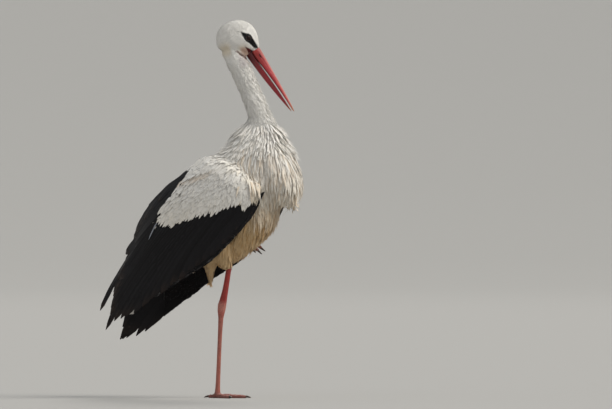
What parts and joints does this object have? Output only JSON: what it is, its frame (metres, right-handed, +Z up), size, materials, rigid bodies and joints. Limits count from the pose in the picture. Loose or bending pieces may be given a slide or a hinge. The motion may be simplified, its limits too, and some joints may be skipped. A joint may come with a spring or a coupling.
{
  "type": "white stork",
  "caption": "Life-size white stork display model at rest on its right leg, left leg tucked up, wings lowered over the tail, long straight bill pointing down.",
  "frame": {"origin": "on the floor under the sole of the standing right foot", "axes": "+X the way the body faces, +Y the bird's left, +Z up"},
  "size_m": [0.4854, 0.2216, 0.8713],
  "materials": {
    "plumage_white": "soft white feathers, buff on belly and breast plumes",
    "plumage_black": "black flight feathers with a faint sheen",
    "bill": "red horn, satin",
    "eye": "wet dark brown",
    "leg": "red scaled skin",
    "claw": "dark horn"
  },
  "bodies": {
    "root": {"head": "plumage_white", "neck_upper": "plumage_white", "neck_lower": "plumage_white", "trunk": "plumage_white", "tail": "plumage_white", "wing_right_coverts": "plumage_white", "wing_left_coverts": "plumage_white", "leg_right_thigh": "plumage_white", "leg_left_thigh": "plumage_white", "wing_right_secondaries": "plumage_black", "wing_right_primaries": "plumage_black", "wing_left_secondaries": "plumage_black", "wing_left_primaries": "plumage_black", "bill_upper": "bill", "bill_lower": "bill", "eye_right": "eye", "eye_left": "eye", "leg_right_shank": "leg", "leg_right_tarsus": "leg", "leg_right_foot": "leg", "leg_left_shank": "leg", "leg_left_tarsus": "leg", "leg_left_foot": "leg", "claw_right_inner": "claw", "claw_right_middle": "claw", "claw_right_outer": "claw", "claw_right_hind": "claw", "claw_left_inner": "claw", "claw_left_middle": "claw", "claw_left_outer": "claw", "claw_left_hind": "claw"}
  },
  "joints": []
}
